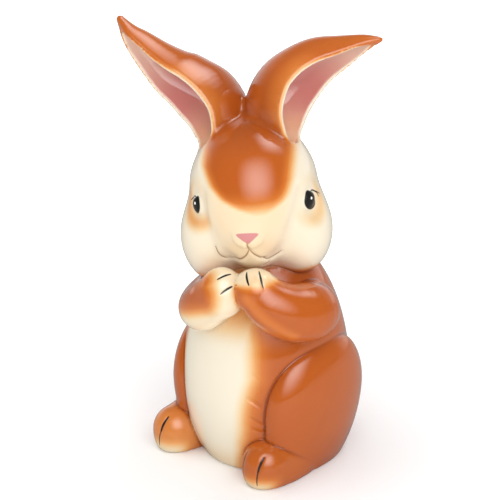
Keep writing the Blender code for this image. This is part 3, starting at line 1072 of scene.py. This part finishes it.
@dataclass
class Hare:
    """The whole cast: its form, its pressed lines, its mesh and its paint."""

    torso: Torso = field(default_factory=Torso)
    legs: Legs = field(default_factory=Legs)
    head: Head = field(default_factory=Head)
    left: Arm = field(default_factory=left_arm)
    right: Arm = field(default_factory=right_arm)
    haunch_seam: Seam = Seam(2.5, 1.2, 1.3)
    foot_seam: Seam = Seam(5.0, 0.7, 1.2)
    scut_seam: Seam = Seam(2.5, 0.3, 1.2)
    head_seam: Seam = Seam(3.0, 0.4, 1.0)
    arm_seam: Seam = Seam(3.0, 0.5, 1.1)
    paw_seam: Seam = Seam(2.0, 0.5, 0.9)
    eye_lift: float = 0.45
    # The middle line of a painted reflection: a paler band along the lower edge of the near arm.
    reflection_edge: Limb = field(
        default_factory=lambda: Limb(
            ((30.1, -53.7, 122.9, 0.0), (39.6, -49.8, 112.0, 0.0), (50.6, -35.5, 99.5, 0.0)), 8
        )
    )
    nose_across: float = -0.9
    nose_top: float = -7.0
    nose_bottom: float = -14.2
    nose_half: float = 8.3
    nose_bow: float = 0.012
    nose_round: float = 2.0
    plain_edge: float = 9.0
    detail_edge: float = 0.62
    seam_edge: float = 1.2
    lines: list[Line] = field(default_factory=list)

    def __post_init__(self) -> None:
        """Lays every line on the plain form."""
        self.lines = [*face_lines(), *paw_lines(), *toe_lines(), *flank_wrinkles()]
        for line in self.lines:
            line.lay(self.head, self.plain)

    def seamed(self, points: Array) -> tuple[Array, Array]:
        """Distance to the form that the solid has, and how near each point is to a seam, 0 to 1."""
        near = np.zeros(len(points))
        d = self.torso.distance(points)
        left = self.left.distance(points)
        right = self.right.distance(points)
        arms = join(left, right, self.paw_seam.soft)
        arms = arms + self.paw_seam.depth * hill(left - right, self.paw_seam.width)
        for piece, seam in (
            (self.legs.haunch_distance(points), self.haunch_seam),
            (self.legs.foot_distance(points), self.foot_seam),
            (self.torso.scut.distance(points), self.scut_seam),
            (self.head.distance(points), self.head_seam),
            (arms, self.arm_seam),
        ):
            groove = hill(d - piece, seam.width)
            near = np.maximum(near, groove)
            d = join(d, piece, seam.soft) + seam.depth * groove
        return cut(d, -points[:, 2], SOLE_EDGE), near

    def plain(self, points: Array) -> Array:
        """Distance to the form that the solid has."""
        return self.seamed(points)[0]

    def carved(self, points: Array) -> Array:
        """Distance to the form with the lines pressed in and the eyes raised."""
        d = self.plain(points)
        for line in self.lines:
            if line.depth:
                d = d + line.pressed(points)
        q = self.head.local(points)
        return d - self.eye_lift * (1 - ramp(self.head.eye_edge(q), -0.9, 0.5))

    def nose_edge(self, q: Array) -> Array:
        """Signed distance to the painted nose, a triangle with soft corners."""
        x, y, z = q.T
        tall = self.nose_top - self.nose_bottom
        slant = np.hypot(tall, self.nose_half)
        across = np.abs(x - self.nose_across)
        side = (across * tall - (z - self.nose_bottom) * self.nose_half) / slant
        top = z - self.nose_top + self.nose_bow * across**2
        edge = join(-side, -top, self.nose_round)
        return np.where(y < -30, -edge, FAR)

    def detail(self, points: Array) -> Array:
        """The longest edge wanted at each point: short beside lines, eyes and nose."""
        wanted = np.full(len(points), self.plain_edge)
        for line in self.lines:
            away, _ = line.spread(points)
            wanted = np.where(away < line.width + 0.9, self.detail_edge, wanted)
        wanted = np.where(self.seamed(points)[1] > 0.4, np.minimum(wanted, self.seam_edge), wanted)
        q = self.head.local(points)
        for ear in (self.head.left_ear, self.head.right_ear):
            rim = np.abs(ear.chart(q).hollow) < 1.1
            wanted = np.where(rim, np.minimum(wanted, self.seam_edge), wanted)
        wanted = np.where(np.abs(self.head.eye_edge(q)) < 1.0, self.detail_edge, wanted)
        return np.where(np.abs(self.nose_edge(q)) < 0.9, self.detail_edge, wanted)

    def shading(self, points: Array, normals: Array) -> Shading:
        """Works out the paint at each point of the skin.

        Args:
            points: points on the skin, in the body frame.
            normals: the skin's outward normals there; not used.

        Returns:
            The values that the glaze reads.
        """
        q = self.head.local(points)
        x, y, z = points.T
        left_ear = self.head.left_ear.chart(q)
        right_ear = self.head.right_ear.chart(q)
        layers = [
            (self.torso.distance(points), self.torso.brown(points)),
            (self.legs.haunch_distance(points), 1.0),
            (self.legs.foot_distance(points), self.legs.foot_brown(points)),
            (self.torso.scut.distance(points), 0.55),
            (self.head.skull_distance(q), self.head.brown(q)),
            (self.left.distance(points), self.left_arm_brown(points)),
            (self.right.distance(points), self.right_arm_brown(points)),
            (left_ear.outside, ear_brown(left_ear)),
            (right_ear.outside, ear_brown(right_ear)),
        ]
        weight = np.zeros(len(points))
        brown = np.zeros(len(points))
        for away, density in layers:
            share = np.exp(-np.clip(away + 1.0, 0, 60) / 0.8)
            weight += share
            brown += share * density
        brown = brown / np.maximum(weight, 1e-12)
        ear = np.where(left_ear.outside < right_ear.outside, left_ear.share, right_ear.share)
        hollow = np.minimum(left_ear.hollow, right_ear.hollow)
        inside = 1.0 - ramp(hollow, 0.0, 0.9)
        brown = brown * (1.0 - inside)
        pink = inside * (1.0 - 0.5 * ramp(ear, 0.50, 0.90))
        rose = ramp(ear, 0.12, 0.42) * (1.0 - 0.4 * ramp(ear, 0.55, 0.95))
        from_nose = np.linalg.norm(q - np.array(self.head.nose.middle), axis=1)
        # Painted shade in the creases, kept off the nose.
        crease = creases(self.plain, points) * ramp(from_nose, 10.0, 14.0)
        # dark takes the colour towards umber: painted shade in the creases, and darker round the ear
        # roots and low on the back.
        ear_roots = ramp(z, 196.0, 212.0) * (1.0 - ramp(z, 226.0, 246.0))
        low_back = ramp(-z, -30.0, -4.0) * ramp(y, -30, 0)
        dark = np.clip(0.4 * ear_roots + 0.95 * crease + 0.25 * low_back, 0, 1)
        return Shading(
            brown, dark, pink, rose, self.head.eye_edge(q), self.nose_edge(q), crease
        )

    def left_arm_brown(self, points: Array) -> Array:
        """Density of brown on the arm with the elbow: its mitten is cream on top, and a painted
        reflection makes its lower edge paler.
        """
        x, y, z = points.T
        mitten = ramp(-self.left.paw.distance(points), -7.0, -1.0)
        bare = mitten * ramp(z, 125.5, 131.5) * (1.0 - ramp(x, 35.0, 45.0))
        # Painted reflection: the brown thins along the arm's lower edge.
        away = self.reflection_edge.distance(points)
        return (1.0 - 0.92 * bare) * (1.0 - 0.3 * (1 - ramp(away, 0.5, 6.0)))

    def right_arm_brown(self, points: Array) -> Array:
        """Density of brown on the arm across the chest: paler towards the mitten and below."""
        x, y, z = points.T
        start = np.array((-24.0, 111.5))
        span = np.array((4.0, 120.5)) - start
        flat = points[:, [0, 2]] - start
        t = np.clip(flat @ span / (span @ span), 0, 1)
        away = np.linalg.norm(flat - t[:, None] * span, axis=1)
        sleeve = (1.0 - ramp(away, 1.0, 19.0)) ** 1.3
        wrist = 0.8 * hill(np.linalg.norm(points - np.array((4.0, -60.0, 128.5)), axis=1), 7.5)
        behind = ramp(y, -44.0, -30.0) * ramp(z, 92.0, 100.0)
        return np.maximum(np.maximum(sleeve, wrist), np.maximum(behind, 0.08))

    def mesh(self, step: float) -> tuple[Array, Array, Array]:
        """Traces the skin and works the lines into it.

        Args:
            step: spacing of the grid.

        Returns:
            Points, triangles and normals.
        """
        values = without_pinches(grid_values(self.plain, step))
        values = np.where(values == 0, 1e-9, values)
        points, index = skin_points(values, step)
        quads = skin_quads(values < 0, index)
        points = settled(self.plain, points)
        for _ in range(2):
            points = settled(self.plain, relaxed(points, quads), 2)
        faces = np.concatenate([quads[:, [0, 1, 2]], quads[:, [0, 2, 3]]])
        for _ in range(2):
            points, faces = split_long_edges(points, faces, self.detail)
        points = settled(self.carved, points)
        return points, faces, unit(slopes(self.carved, points))

    def build(self, step: float, finish: bpy.types.Material) -> bpy.types.Object:
        """Makes the cast's object.

        Args:
            step: spacing of the grid.
            finish: the glaze.

        Returns:
            The object, at the origin, with its place in its mesh.
        """
        points, faces, normals = self.mesh(step)
        mesh = bpy.data.meshes.new("hare_cast")
        mesh.from_pydata((points * MILLIMETRE).tolist(), [], faces.tolist())
        mesh.update()
        mesh.shade_smooth()
        self.shading(points, normals).store(mesh)
        mesh.normals_split_custom_set_from_vertices(normals.tolist())
        mesh.materials.append(finish)
        body = placed("hare_cast", mesh)
        log.info("hare_cast: %d triangles", len(faces))
        return body


def ear_brown(ear: EarChart) -> Array:
    """Density of brown on an ear: bare at the rim, full behind it, paler to the tip."""
    narrow = 1.0 - 0.65 * ramp(ear.share, 0.5, 0.9)
    behind = ramp(ear.hollow / narrow, 1.6, 6.0)
    return behind * (1.0 - 0.12 * ramp(ear.share, 0.35, 0.95))


def creases(distance: Distance, points: Array, reach: float = 1.4) -> Array:
    """How deep in a crease each point lies, 0 on open skin and 1 in a sharp crease."""
    total = np.zeros(len(points))
    for axis in range(3):
        for way in (-reach, reach):
            offset = np.zeros(3)
            offset[axis] = way
            total += in_batches(distance, points + offset)
    bend = (total - 6 * in_batches(distance, points)) / reach**2
    return ramp(-bend, 0.10, 0.75)


class Wiring:
    """Adds nodes to one tree and joins them up."""

    def __init__(self, tree: bpy.types.NodeTree) -> None:
        """Keeps the tree."""
        self.tree = tree

    def node(self, kind: str, **settings: object) -> bpy.types.Node:
        """Adds a node with these settings."""
        made = self.tree.nodes.new(kind)
        for name, value in settings.items():
            setattr(made, name, value)
        return made

    def feed(self, socket: bpy.types.NodeSocket, value: object) -> None:
        """Links a socket to an input, or sets the input to a value."""
        if isinstance(value, bpy.types.NodeSocket):
            self.tree.links.new(value, socket)
        else:
            socket.default_value = value

    def math(self, operation: str, *values: object) -> bpy.types.NodeSocket:
        """A Math node's result."""
        made = self.node("ShaderNodeMath", operation=operation)
        for socket, value in zip(made.inputs, values):
            self.feed(socket, value)
        return made.outputs[0]

    def vector(self, operation: str, *values: object) -> bpy.types.Node:
        """A Vector Math node."""
        made = self.node("ShaderNodeVectorMath", operation=operation)
        for socket, value in zip(made.inputs, values):
            self.feed(socket, value)
        return made

    def spread(
        self, value: object, low: float, high: float, first: float = 0.0, last: float = 1.0
    ) -> bpy.types.NodeSocket:
        """A smooth step of a value, from first at low to last at high."""
        made = self.node("ShaderNodeMapRange", interpolation_type="SMOOTHSTEP")
        for socket, fed in zip(made.inputs, (value, low, high, first, last)):
            self.feed(socket, fed)
        return made.outputs[0]

    def scaled(self, value: object, scale: object) -> bpy.types.NodeSocket:
        """A vector times a number."""
        made = self.node("ShaderNodeVectorMath", operation="SCALE")
        self.feed(made.inputs[0], value)
        self.feed(made.inputs["Scale"], scale)
        return made.outputs[0]

    def mix(self, share: object, first: object, second: object) -> bpy.types.NodeSocket:
        """A mix of two colours."""
        made = self.node("ShaderNodeMix", data_type="RGBA")
        self.feed(made.inputs[0], share)
        self.feed(made.inputs[6], first)
        self.feed(made.inputs[7], second)
        return made.outputs[2]

    def noise(self, position: object, scale: float, detail: float = 2.0) -> bpy.types.NodeSocket:
        """A noise value at a position."""
        made = self.node("ShaderNodeTexNoise")
        self.feed(made.inputs["Vector"], position)
        made.inputs["Scale"].default_value = scale
        made.inputs["Detail"].default_value = detail
        return made.outputs[0]

    def attribute(self, name: str) -> bpy.types.NodeSocket:
        """A point attribute's value."""
        return self.node("ShaderNodeAttribute", attribute_name=name).outputs["Fac"]

    def colours(self, value: object, stops: Iterable[tuple[float, Row]]) -> bpy.types.NodeSocket:
        """A colour ramp over a value."""
        made = self.node("ShaderNodeValToRGB")
        stops = list(stops)
        elements = made.color_ramp.elements
        while len(elements) < len(stops):
            elements.new(0.5)
        for element, (place, colour) in zip(elements, stops):
            element.position = place
            element.color = (*colour, 1.0)
        self.feed(made.inputs[0], value)
        return made.outputs[0]


def placed(name: str, data: bpy.types.ID) -> bpy.types.Object:
    """A new object in the scene."""
    made = bpy.data.objects.new(name, data)
    bpy.context.scene.collection.objects.link(made)
    return made


def new_material(name: str) -> tuple[bpy.types.Material, Wiring, bpy.types.Node]:
    """A material, its wiring and its Principled BSDF."""
    material = bpy.data.materials.new(name)
    material.use_nodes = True
    return material, Wiring(material.node_tree), material.node_tree.nodes["Principled BSDF"]


def new_group(
    name: str, inputs: Iterable[tuple[str, str]], outputs: Iterable[tuple[str, str]]
) -> tuple[bpy.types.NodeTree, Wiring, bpy.types.Node, bpy.types.Node]:
    """An empty shader node group.

    Args:
        name: the group's name.
        inputs: the name and socket type of each input.
        outputs: the name and socket type of each output.

    Returns:
        The tree, its wiring, its input node and its output node.
    """
    tree = bpy.data.node_groups.new(name, "ShaderNodeTree")
    for label, kind in inputs:
        tree.interface.new_socket(label, in_out="INPUT", socket_type=kind)
    for label, kind in outputs:
        tree.interface.new_socket(label, in_out="OUTPUT", socket_type=kind)
    wiring = Wiring(tree)
    return tree, wiring, wiring.node("NodeGroupInput"), wiring.node("NodeGroupOutput")


def brush_line_group() -> bpy.types.NodeTree:
    """A group that masks one bent, tapered brush line in object space."""
    tree, w, given, result = new_group(
        "brush line",
        (
            ("Position", "NodeSocketVector"),
            ("Start", "NodeSocketVector"),
            ("Run", "NodeSocketVector"),
            ("Bend", "NodeSocketVector"),
            ("Facing", "NodeSocketVector"),
            ("Half Width", "NodeSocketFloat"),
            ("Taper", "NodeSocketFloat"),
        ),
        (("Mask", "NodeSocketFloat"),),
    )
    start, run, bend = (given.outputs[name] for name in ("Start", "Run", "Bend"))
    offset = w.vector("SUBTRACT", given.outputs["Position"], start).outputs[0]
    along = w.vector("DOT_PRODUCT", offset, run).outputs["Value"]
    whole = w.vector("DOT_PRODUCT", run, run).outputs["Value"]
    share = w.math("DIVIDE", along, whole)
    share.node.use_clamp = True
    rest = w.math("SUBTRACT", 1.0, share)
    bow = w.math("MULTIPLY", w.math("MULTIPLY", share, rest), 4.0)
    foot = w.vector("ADD", w.scaled(run, share), w.scaled(bend, bow)).outputs[0]
    rest_offset = w.vector("SUBTRACT", offset, foot).outputs[0]
    rise = w.vector("DOT_PRODUCT", rest_offset, given.outputs["Facing"]).outputs["Value"]
    risen = w.scaled(given.outputs["Facing"], rise)
    flat = w.vector("DISTANCE", rest_offset, risen).outputs["Value"]
    over = w.math("SUBTRACT", w.math("ABSOLUTE", rise), LINE_REACH * MILLIMETRE)
    away = w.math("ADD", flat, w.math("MAXIMUM", over, 0.0))
    full = w.math("SQRT", bow)
    thin = w.math("MULTIPLY", given.outputs["Taper"], w.math("SUBTRACT", 1.0, full))
    half = w.math("MULTIPLY", given.outputs["Half Width"], w.math("SUBTRACT", 1.0, thin))
    inside = w.math("SUBTRACT", half, away)
    w.feed(result.inputs["Mask"], w.spread(inside, -0.00012, 0.00016))
    return tree


def droplet_group() -> bpy.types.NodeTree:
    """A group that breaks a paint density up as airbrush droplets and drifting passes do."""
    tree, w, given, result = new_group(
        "airbrush droplets",
        (
            ("Position", "NodeSocketVector"),
            ("Density", "NodeSocketFloat"),
            ("Amount", "NodeSocketFloat"),
        ),
        (("Density", "NodeSocketFloat"),),
    )
    density = given.outputs["Density"]
    fine = w.math("SUBTRACT", w.noise(given.outputs["Position"], 1900.0), 0.5)
    drift = w.math("SUBTRACT", w.noise(given.outputs["Position"], 46.0, 3.0), 0.5)
    edge = w.math("MULTIPLY", w.math("MULTIPLY", density, w.math("SUBTRACT", 1.15, density)), 4.0)
    shift = w.math("ADD", w.math("MULTIPLY", fine, 0.35), w.math("MULTIPLY", drift, 0.65))
    shift = w.math("MULTIPLY", w.math("MULTIPLY", shift, edge), given.outputs["Amount"])
    w.feed(result.inputs["Density"], w.math("ADD", density, shift))
    return tree


@dataclass(frozen=True)
class GlazeFinish:
    """Airbrushed underglaze colours beneath one clear, glossy glaze. Colours are linear."""

    browns: Sequence[tuple[float, Row]] = (
        (0.0, (0.88, 0.80, 0.64)),
        (0.18, (0.86, 0.63, 0.36)),
        (0.42, (0.79, 0.355, 0.105)),
        (0.68, (0.64, 0.175, 0.026)),
        (1.0, (0.49, 0.102, 0.010)),
    )
    # umber: the dark brown of the painted shade in the creases, and of the darker ear roots and low
    # back.
    umber: Row = (0.25, 0.040, 0.005)
    roses: Sequence[tuple[float, Row]] = (
        (0.0, (0.76, 0.43, 0.27)),
        (0.35, (0.74, 0.38, 0.29)),
        (1.0, (0.63, 0.245, 0.215)),
    )
    nose: Row = (0.66, 0.255, 0.25)
    black: Row = (0.012, 0.011, 0.010)
    tan: Row = (0.40, 0.20, 0.09)
    # glint: the colour of the painted highlight in the eyes.
    glint: Row = (0.95, 0.95, 0.93)
    droplets: float = 0.22
    crease_depth: float = 0.85
    crease_shade_tint: float = 0.22
    tan_strength: float = 0.75
    glint_radii: Row = (0.00095, 0.00065)
    body_roughness: float = 0.34
    body_specular: float = 0.15
    eye_dulling: float = 0.75
    coat_roughness: float = 0.035
    coat_ior: float = 1.65
    wave_scale: float = 38.0
    wave_distance: float = 0.00045
    wave_strength: float = 0.55

    def make(self, hare: Hare) -> bpy.types.Material:
        """Builds the material.

        Args:
            hare: gives the brush lines and the eyes.

        Returns:
            The glaze, which reads the hare's point attributes and Object coordinates.
        """
        material, w, shader = new_material("glazed_ceramic")
        position = w.node("ShaderNodeTexCoord").outputs["Object"]
        colour = self.paint(w, hare, position)
        w.feed(shader.inputs["Base Color"], colour)
        shader.inputs["Roughness"].default_value = self.body_roughness
        eye = w.spread(w.attribute("eye_edge"), 0.3, -0.3)
        dulled = w.math("MULTIPLY", eye, self.eye_dulling)
        w.feed(shader.inputs["Coat Weight"], w.math("SUBTRACT", 1.0, dulled))
        shader.inputs["Coat Roughness"].default_value = self.coat_roughness
        shader.inputs["Coat IOR"].default_value = self.coat_ior
        shader.inputs["Specular IOR Level"].default_value = self.body_specular
        wave = w.noise(position, self.wave_scale, 1.0)
        bump = w.node("ShaderNodeBump")
        bump.inputs["Strength"].default_value = self.wave_strength
        bump.inputs["Distance"].default_value = self.wave_distance
        w.feed(bump.inputs["Height"], wave)
        w.feed(shader.inputs["Normal"], bump.outputs[0])
        w.feed(shader.inputs["Coat Normal"], bump.outputs[0])
        return material

    def paint(self, w: Wiring, hare: Hare, position: bpy.types.NodeSocket) -> bpy.types.NodeSocket:
        """The colours under the glaze, from the airbrush to the last brush line."""
        droplets = w.node("ShaderNodeGroup", node_tree=droplet_group())
        w.feed(droplets.inputs["Position"], position)
        w.feed(droplets.inputs["Density"], w.attribute("brown"))
        droplets.inputs["Amount"].default_value = self.droplets
        colour = w.colours(droplets.outputs[0], self.browns)
        # Painted shade: where the brown is dense, the creases, the ear roots and the low back darken
        # towards umber.
        depth = w.math("MULTIPLY", w.attribute("dark"), w.spread(w.attribute("brown"), 0.25, 0.9))
        colour = w.mix(w.math("MULTIPLY", depth, self.crease_depth), colour, (*self.umber, 1.0))
        # Painted shade in the creases of the cream parts: a tan tint.
        tint = w.math("MULTIPLY", w.attribute("crease"), w.spread(w.attribute("brown"), 0.5, 0.1))
        colour = w.mix(w.math("MULTIPLY", tint, self.crease_shade_tint), colour, (*self.tan, 1.0))
        colour = w.mix(w.attribute("pink"), colour, w.colours(w.attribute("rose"), self.roses))
        nose = w.spread(w.attribute("nose_edge"), 0.25, -0.25)
        colour = w.mix(nose, colour, (*self.nose, 1.0))
        tan = self.lines_mask(w, hare, position, Paint.TAN)
        colour = w.mix(w.math("MULTIPLY", tan, self.tan_strength), colour, (*self.tan, 1.0))
        eye = w.spread(w.attribute("eye_edge"), 0.18, -0.18)
        dark = w.math("MAXIMUM", eye, self.lines_mask(w, hare, position, Paint.BLACK))
        colour = w.mix(dark, colour, (*self.black, 1.0))
        # Last, the painted highlight in each eye.
        return w.mix(self.glints(w, hare, position), colour, (*self.glint, 1.0))

    def lines_mask(
        self, w: Wiring, hare: Hare, position: bpy.types.NodeSocket, paint: Paint
    ) -> bpy.types.NodeSocket:
        """The union of the brush lines in one paint."""
        group = bpy.data.node_groups.get("brush line") or brush_line_group()
        found = None
        for line in hare.lines:
            if line.paint is not paint:
                continue
            stroke = w.node("ShaderNodeGroup", node_tree=group, label=line.name)
            w.feed(stroke.inputs["Position"], position)
            for label, place in (("Start", line.start), ("Run", line.run), ("Bend", line.bend)):
                stroke.inputs[label].default_value = place * MILLIMETRE
            stroke.inputs["Facing"].default_value = line.facing
            stroke.inputs["Half Width"].default_value = line.width / 2 * MILLIMETRE
            stroke.inputs["Taper"].default_value = line.taper
            mask = stroke.outputs[0]
            found = mask if found is None else w.math("MAXIMUM", found, mask)
        return found

    def glints(self, w: Wiring, hare: Hare, position: bpy.types.NodeSocket) -> bpy.types.NodeSocket:
        """A painted highlight: the small white dot in each eye that stands for the glint of light on it.
        """
        found = None
        for eye in hare.head.eyes:
            place = np.array(eye.middle) + np.array((0.7 * eye.side.value, -0.9, 1.2))
            dot = settled(hare.carved, hare.head.to_body(place[None]), 6)[0]
            away = w.vector("DISTANCE", position, (dot * MILLIMETRE).tolist()).outputs["Value"]
            mask = w.spread(away, *self.glint_radii)
            found = mask if found is None else w.math("MAXIMUM", found, mask)
        return found


@dataclass(frozen=True)
class Studio:
    """The floor, the soft light and the camera. Lengths are metres."""

    camera_azimuth: float = 40.0
    camera_elevation: float = 22.0
    camera_distance: float = 1.1
    target: Row = (0.0, 0.0, 0.128)
    lens: float = 132.0
    shift: Row = (-0.032, 0.004)
    floor_side: float = 12.0
    floor_level: float = -0.0002
    floor_glow: float = 0.55
    fill: float = 0.68

    def outward(self, azimuth: float, elevation: float) -> Array:
        """The way from the hare at an azimuth from -Y towards +X and an elevation."""
        a, e = np.radians([azimuth, elevation])
        return np.array((np.sin(a) * np.cos(e), -np.cos(a) * np.cos(e), np.sin(e)))

    def looking(self, azimuth: float, elevation: float, distance: float) -> Matrix:
        """A place and turn that looks at the target from there."""
        back = self.outward(azimuth, elevation)
        right = np.cross((0.0, 0.0, 1.0), back)
        right /= np.linalg.norm(right)
        up = np.cross(back, right)
        place = np.array(self.target) + back * distance
        rows = [[*row, p] for row, p in zip(np.stack([right, up, back], axis=1), place)]
        return Matrix([*rows, [0, 0, 0, 1]])

    def camera(self) -> None:
        """Sets the camera at the photograph's angle."""
        data = bpy.data.cameras.new("camera")
        data.lens = self.lens
        data.sensor_width = 36.0
        data.shift_x, data.shift_y = self.shift
        data.clip_end = 30.0
        camera = placed("camera", data)
        camera.matrix_world = self.looking(
            self.camera_azimuth, self.camera_elevation, self.camera_distance
        )
        bpy.context.scene.camera = camera

    def sheet(
        self, name: str, corners: Iterable[Row], material: bpy.types.Material
    ) -> bpy.types.Object:
        """Lays one flat face.

        Args:
            name: what to call it.
            corners: its four corners in turn.
            material: its material.

        Returns:
            The object.
        """
        mesh = bpy.data.meshes.new(name)
        mesh.from_pydata(list(corners), [], [(0, 1, 2, 3)])
        mesh.materials.append(material)
        return placed(name, mesh)

    def softbox(
        self,
        name: str,
        azimuth: float,
        elevation: float,
        distance: float,
        side: float,
        radiance: float,
    ) -> None:
        """Adds one square panel whose glow fades to its edges and that the camera can't see.

        Args:
            name: what to call it.
            azimuth: degrees from -Y towards +X.
            elevation: degrees above the floor.
            distance: how far it stands from the hare.
            side: its side.
            radiance: how bright its middle is.
        """
        matrix = np.array(self.looking(azimuth, elevation, distance))
        half = side / 2
        flat = [(-half, -half, 0.0), (-half, half, 0.0), (half, half, 0.0), (half, -half, 0.0)]
        corners = [(matrix[:3, :3] @ corner + matrix[:3, 3]).tolist() for corner in flat]
        material, w, shader = new_material(name)
        shader.inputs["Base Color"].default_value = (0.0, 0.0, 0.0, 1.0)
        position = w.node("ShaderNodeTexCoord").outputs["Object"]
        offset = w.vector("SUBTRACT", position, matrix[:3, 3].tolist()).outputs[0]
        glow = None
        for axis in (0, 1):
            across = w.vector("DOT_PRODUCT", offset, matrix[:3, axis].tolist()).outputs["Value"]
            fade = w.spread(w.math("ABSOLUTE", across), half, half * 0.05)
            glow = fade if glow is None else w.math("MULTIPLY", glow, fade)
        w.feed(shader.inputs["Emission Color"], glow)
        shader.inputs["Emission Strength"].default_value = radiance
        panel = self.sheet(name, corners, material)
        panel.visible_camera = False

    def overhead(self) -> None:
        """Adds one area light over the hare, mostly for the shadow under it."""
        data = bpy.data.lights.new("overhead light", "AREA")
        data.size = 1.4
        data.energy = 6.0
        light = placed("overhead light", data)
        light.matrix_world = self.looking(azimuth=-60.0, elevation=70.0, distance=1.6)
        light.visible_camera = False
        light.visible_glossy = False

    def floor(self) -> None:
        """Lays the pale floor just under the hare. It glows as painted light, faintly near the hare and
        more away from it, and shows darker in the glaze's reflections.
        """
        half = self.floor_side / 2
        flat = ((-half, -half), (half, -half), (half, half), (-half, half))
        corners = [(x, y, self.floor_level) for x, y in flat]
        material, w, shader = new_material("pale_floor")
        position = w.node("ShaderNodeTexCoord").outputs["Object"]
        cloud = w.noise(position, 3.0)
        # Seen in reflections, the floor is darker and doesn't glow.
        glossy = w.node("ShaderNodeLightPath").outputs["Is Glossy Ray"]
        pale = w.mix(cloud, (0.87, 0.87, 0.87, 1), (0.89, 0.89, 0.89, 1))
        w.feed(shader.inputs["Base Color"], w.mix(glossy, pale, (0.40, 0.39, 0.38, 1)))
        shader.inputs["Roughness"].default_value = 0.6
        # Painted light: the floor's glow rises away from the hare, so the shade round the feet stays.
        away = w.vector("LENGTH", position).outputs["Value"]
        dim = w.math("SUBTRACT", 1.0, glossy)
        glow = w.spread(away, 0.05, 0.35, 0.12, self.floor_glow)
        w.feed(shader.inputs["Emission Color"], w.math("MULTIPLY", glow, dim))
        shader.inputs["Emission Strength"].default_value = 1.0
        floor = self.sheet("floor", corners, material)

    def surroundings(self) -> None:
        """A white background and even fill, which the glaze mirrors only from behind the hare."""
        world = bpy.data.worlds.new("pale room")
        bpy.context.scene.world = world
        world.use_nodes = True
        w = Wiring(world.node_tree)
        background = world.node_tree.nodes["Background"]
        way = w.node("ShaderNodeTexCoord").outputs["Generated"]
        away = (-self.outward(self.camera_azimuth, 0.0)).tolist()
        behind = w.vector("DOT_PRODUCT", way, away).outputs["Value"]
        height = w.node("ShaderNodeSeparateXYZ")
        w.feed(height.inputs[0], way)
        low = w.spread(height.outputs["Z"], 0.7, 0.1)
        share = w.math("MULTIPLY", w.spread(behind, 0.2, 0.75), low)
        mirrored_room = w.mix(share, (0.08, 0.075, 0.07, 1), (0.9, 0.9, 0.9, 1))
        fill = (self.fill, self.fill, self.fill, 1)
        glossy = w.node("ShaderNodeLightPath").outputs["Is Glossy Ray"]
        w.feed(background.inputs["Color"], w.mix(glossy, fill, mirrored_room))
        background.inputs["Strength"].default_value = 1.0

    def build(self) -> None:
        """Sets up the whole studio."""
        self.camera()
        self.floor()
        self.surroundings()
        self.softbox("key softbox", 53.0, 37.0, distance=1.5, side=2.6, radiance=3.5)
        self.softbox("back softbox", 165.0, 60.0, distance=1.5, side=1.3, radiance=3.9)
        self.overhead()
        bpy.context.scene.view_settings.view_transform = "Standard"


def main() -> None:
    """Builds the hare and the studio."""
    logging.basicConfig(level=logging.INFO, format="%(name)s %(message)s")
    Studio().build()
    log.info("studio: camera, floor, lights")
    hare = Hare()
    log.info("lines: %d", len(hare.lines))
    body = hare.build(FINE_STEP, GlazeFinish().make(hare))
    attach(body, "root")
    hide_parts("hare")


if __name__ == "__main__":
    main()
